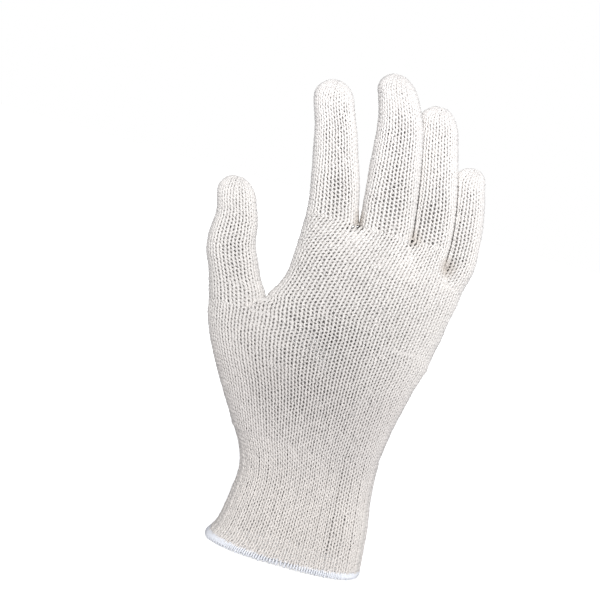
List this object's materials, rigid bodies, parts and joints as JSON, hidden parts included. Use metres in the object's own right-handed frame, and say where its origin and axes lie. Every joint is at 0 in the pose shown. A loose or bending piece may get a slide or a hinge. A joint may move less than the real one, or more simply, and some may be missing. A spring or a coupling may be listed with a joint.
{
  "type": "cotton work glove",
  "caption": "Right-hand seamless string-knit cotton work glove, filled out as when worn, with a ribbed knit cuff and a white overlocked edge.",
  "frame": {"origin": "centre of the cuff's open lower edge, where the wrist goes in", "axes": "+Z along the cuff's axis towards the fingers, -Y out of the back of the hand, +Y out of its palm, -X towards the thumb"},
  "size_m": [0.1334, 0.053, 0.2443],
  "materials": {
    "glove_knit": "matte natural white cotton string, plain knit",
    "cuff_knit": "matte natural cotton over elastic, ribbed knit with faint pink and green flecks",
    "overlock_thread": "slightly bluish white polyester overlock thread"
  },
  "bodies": {
    "root": {"hem_overlock": "overlock_thread", "wrist_cuff": "cuff_knit", "palm": "glove_knit", "thumb": "glove_knit", "index_finger": "glove_knit", "middle_finger": "glove_knit", "ring_finger": "glove_knit", "little_finger": "glove_knit"}
  },
  "joints": []
}
